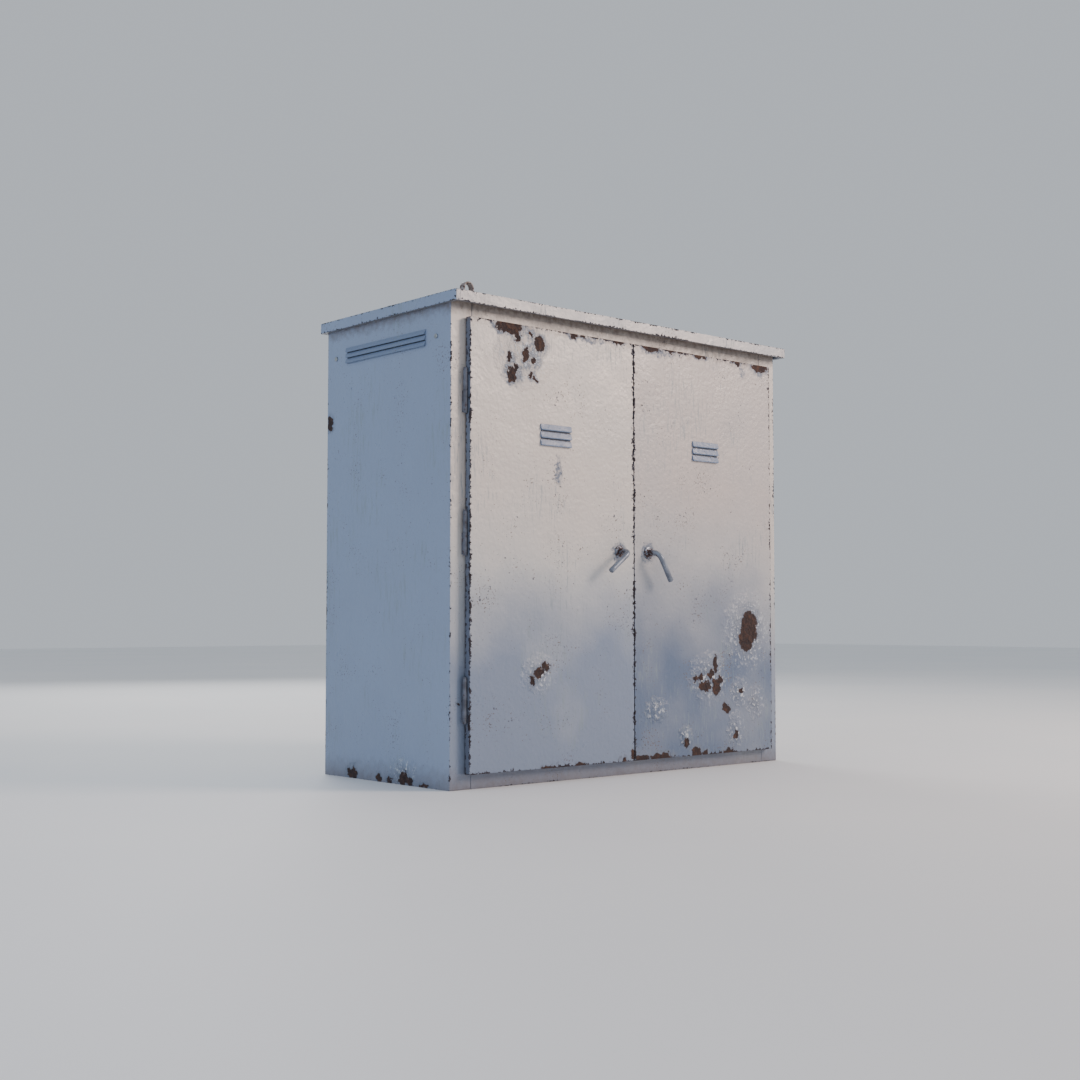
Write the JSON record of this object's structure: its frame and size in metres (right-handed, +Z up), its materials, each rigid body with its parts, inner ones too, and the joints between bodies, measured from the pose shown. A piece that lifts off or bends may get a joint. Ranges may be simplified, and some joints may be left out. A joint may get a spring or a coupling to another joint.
{
  "type": "switchboard cabinet",
  "caption": "Free-standing steel electrical cabinet with two hinged louvred doors, turning bar handles, rain roof and a switchboard on its mounting plate.",
  "frame": {"origin": "centre of the base, on the floor, midway between the four base holes", "axes": "+Z up, +X to the right seen from the front, the doors face -Y"},
  "size_m": [1.023, 0.517, 1.031],
  "materials": {
    "cabinet_paint": "aged semi-gloss paint with rust at the edges",
    "zinc_steel": "zinc plated",
    "bare_steel": "worn bare steel",
    "plate_paint": "semi-gloss light paint",
    "foam_rubber": "matt foam",
    "gland_nylon": "matt moulded",
    "device_moulding": "matt moulded",
    "breaker_moulding": "matt moulded",
    "toggle_moulding": "satin moulded",
    "lever_moulding": "satin moulded",
    "copper": "drawn copper",
    "brass": "drawn brass",
    "insulator": "cast resin",
    "lead_sheath": "extruded",
    "duct_pvc": "extruded",
    "terminal_moulding": "matt moulded"
  },
  "bodies": {
    "cabinet": {"bar_insulators": "insulator", "base_pan": "cabinet_paint", "breaker_bodies": "breaker_moulding", "busbar_supports": "insulator", "busbars": "copper", "cable_glands": "gland_nylon", "centre_post": "cabinet_paint", "comb_busbar": "device_moulding", "copper_links": "copper", "din_rails": "zinc_steel", "earth_bar": "brass", "feeder_leads": "lead_sheath", "frame_bottom_rail": "cabinet_paint", "frame_hinge_knuckles": "cabinet_paint", "frame_top_rail": "cabinet_paint", "front_left_lifting_lug": "cabinet_paint", "gland_plate": "zinc_steel", "gland_seals": "foam_rubber", "hinge_pins": "bare_steel", "latch_keepers": "zinc_steel", "left_side_wall": "cabinet_paint", "main_switch_body": "device_moulding", "mounting_plate": "plate_paint", "mounting_plate_nuts": "zinc_steel", "mounting_plate_standoffs": "zinc_steel", "neutral_bar": "brass", "outgoing_leads": "lead_sheath", "panel_screws": "zinc_steel", "rear_right_lifting_lug": "cabinet_paint", "rear_wall": "cabinet_paint", "right_side_wall": "cabinet_paint", "roof_bolts": "zinc_steel", "roof_cap": "cabinet_paint", "terminal_blocks": "terminal_moulding", "wiring_duct_lids": "duct_pvc", "wiring_ducts": "duct_pvc"},
    "left_door": {"left_door_leaf": "cabinet_paint", "left_door_gasket": "foam_rubber", "left_door_stiffeners": "cabinet_paint", "left_door_knuckles": "cabinet_paint", "left_escutcheon": "bare_steel", "left_spindle_bush": "zinc_steel"},
    "left_handle": {"left_handle_lever": "bare_steel", "left_latch_tongue": "zinc_steel", "left_latch_nut": "zinc_steel"},
    "right_door": {"right_door_leaf": "cabinet_paint", "right_door_gasket": "foam_rubber", "right_door_stiffeners": "cabinet_paint", "right_door_knuckles": "cabinet_paint", "right_escutcheon": "bare_steel", "right_spindle_bush": "zinc_steel"},
    "right_handle": {"right_handle_lever": "bare_steel", "right_latch_tongue": "zinc_steel", "right_latch_nut": "zinc_steel"},
    "main_switch_handle": {"main_switch_lever": "lever_moulding"},
    "toggle_1": {"breaker_toggle_1": "toggle_moulding"},
    "toggle_2": {"breaker_toggle_2": "toggle_moulding"},
    "toggle_3": {"breaker_toggle_3": "toggle_moulding"},
    "toggle_4": {"breaker_toggle_4": "toggle_moulding"},
    "toggle_5": {"breaker_toggle_5": "toggle_moulding"}
  },
  "joints": [
    {"name": "left_door_hinge", "type": "hinge", "parent": "cabinet", "child": "left_door", "pos_m": [-0.469, -0.2305, 0.5], "axis": [0, 0, -1], "range_deg": [0, 110]},
    {"name": "right_door_hinge", "type": "hinge", "parent": "cabinet", "child": "right_door", "pos_m": [0.469, -0.2305, 0.5], "axis": [0, 0, 1], "range_deg": [0, 110]},
    {"name": "left_handle_turn", "type": "hinge", "parent": "left_door", "child": "left_handle", "pos_m": [-0.045, -0.24, 0.488], "axis": [0, 1, 0], "range_deg": [-53, 37]},
    {"name": "right_handle_turn", "type": "hinge", "parent": "right_door", "child": "right_handle", "pos_m": [0.045, -0.24, 0.488], "axis": [0, -1, 0], "range_deg": [-31, 59]},
    {"name": "main_switch_throw", "type": "hinge", "parent": "cabinet", "child": "main_switch_handle", "pos_m": [0, 0.109, 0.79], "axis": [-1, 0, 0], "range_deg": [0, 80]},
    {"name": "breaker_1_throw", "type": "hinge", "parent": "cabinet", "child": "toggle_1", "pos_m": [-0.11, 0.1115, 0.42], "axis": [-1, 0, 0], "range_deg": [0, 80]},
    {"name": "breaker_2_throw", "type": "hinge", "parent": "cabinet", "child": "toggle_2", "pos_m": [-0.055, 0.1115, 0.42], "axis": [-1, 0, 0], "range_deg": [0, 80]},
    {"name": "breaker_3_throw", "type": "hinge", "parent": "cabinet", "child": "toggle_3", "pos_m": [0, 0.1115, 0.42], "axis": [-1, 0, 0], "range_deg": [0, 80]},
    {"name": "breaker_4_throw", "type": "hinge", "parent": "cabinet", "child": "toggle_4", "pos_m": [0.055, 0.1115, 0.42], "axis": [-1, 0, 0], "range_deg": [0, 80]},
    {"name": "breaker_5_throw", "type": "hinge", "parent": "cabinet", "child": "toggle_5", "pos_m": [0.11, 0.1115, 0.42], "axis": [-1, 0, 0], "range_deg": [0, 80]}
  ]
}
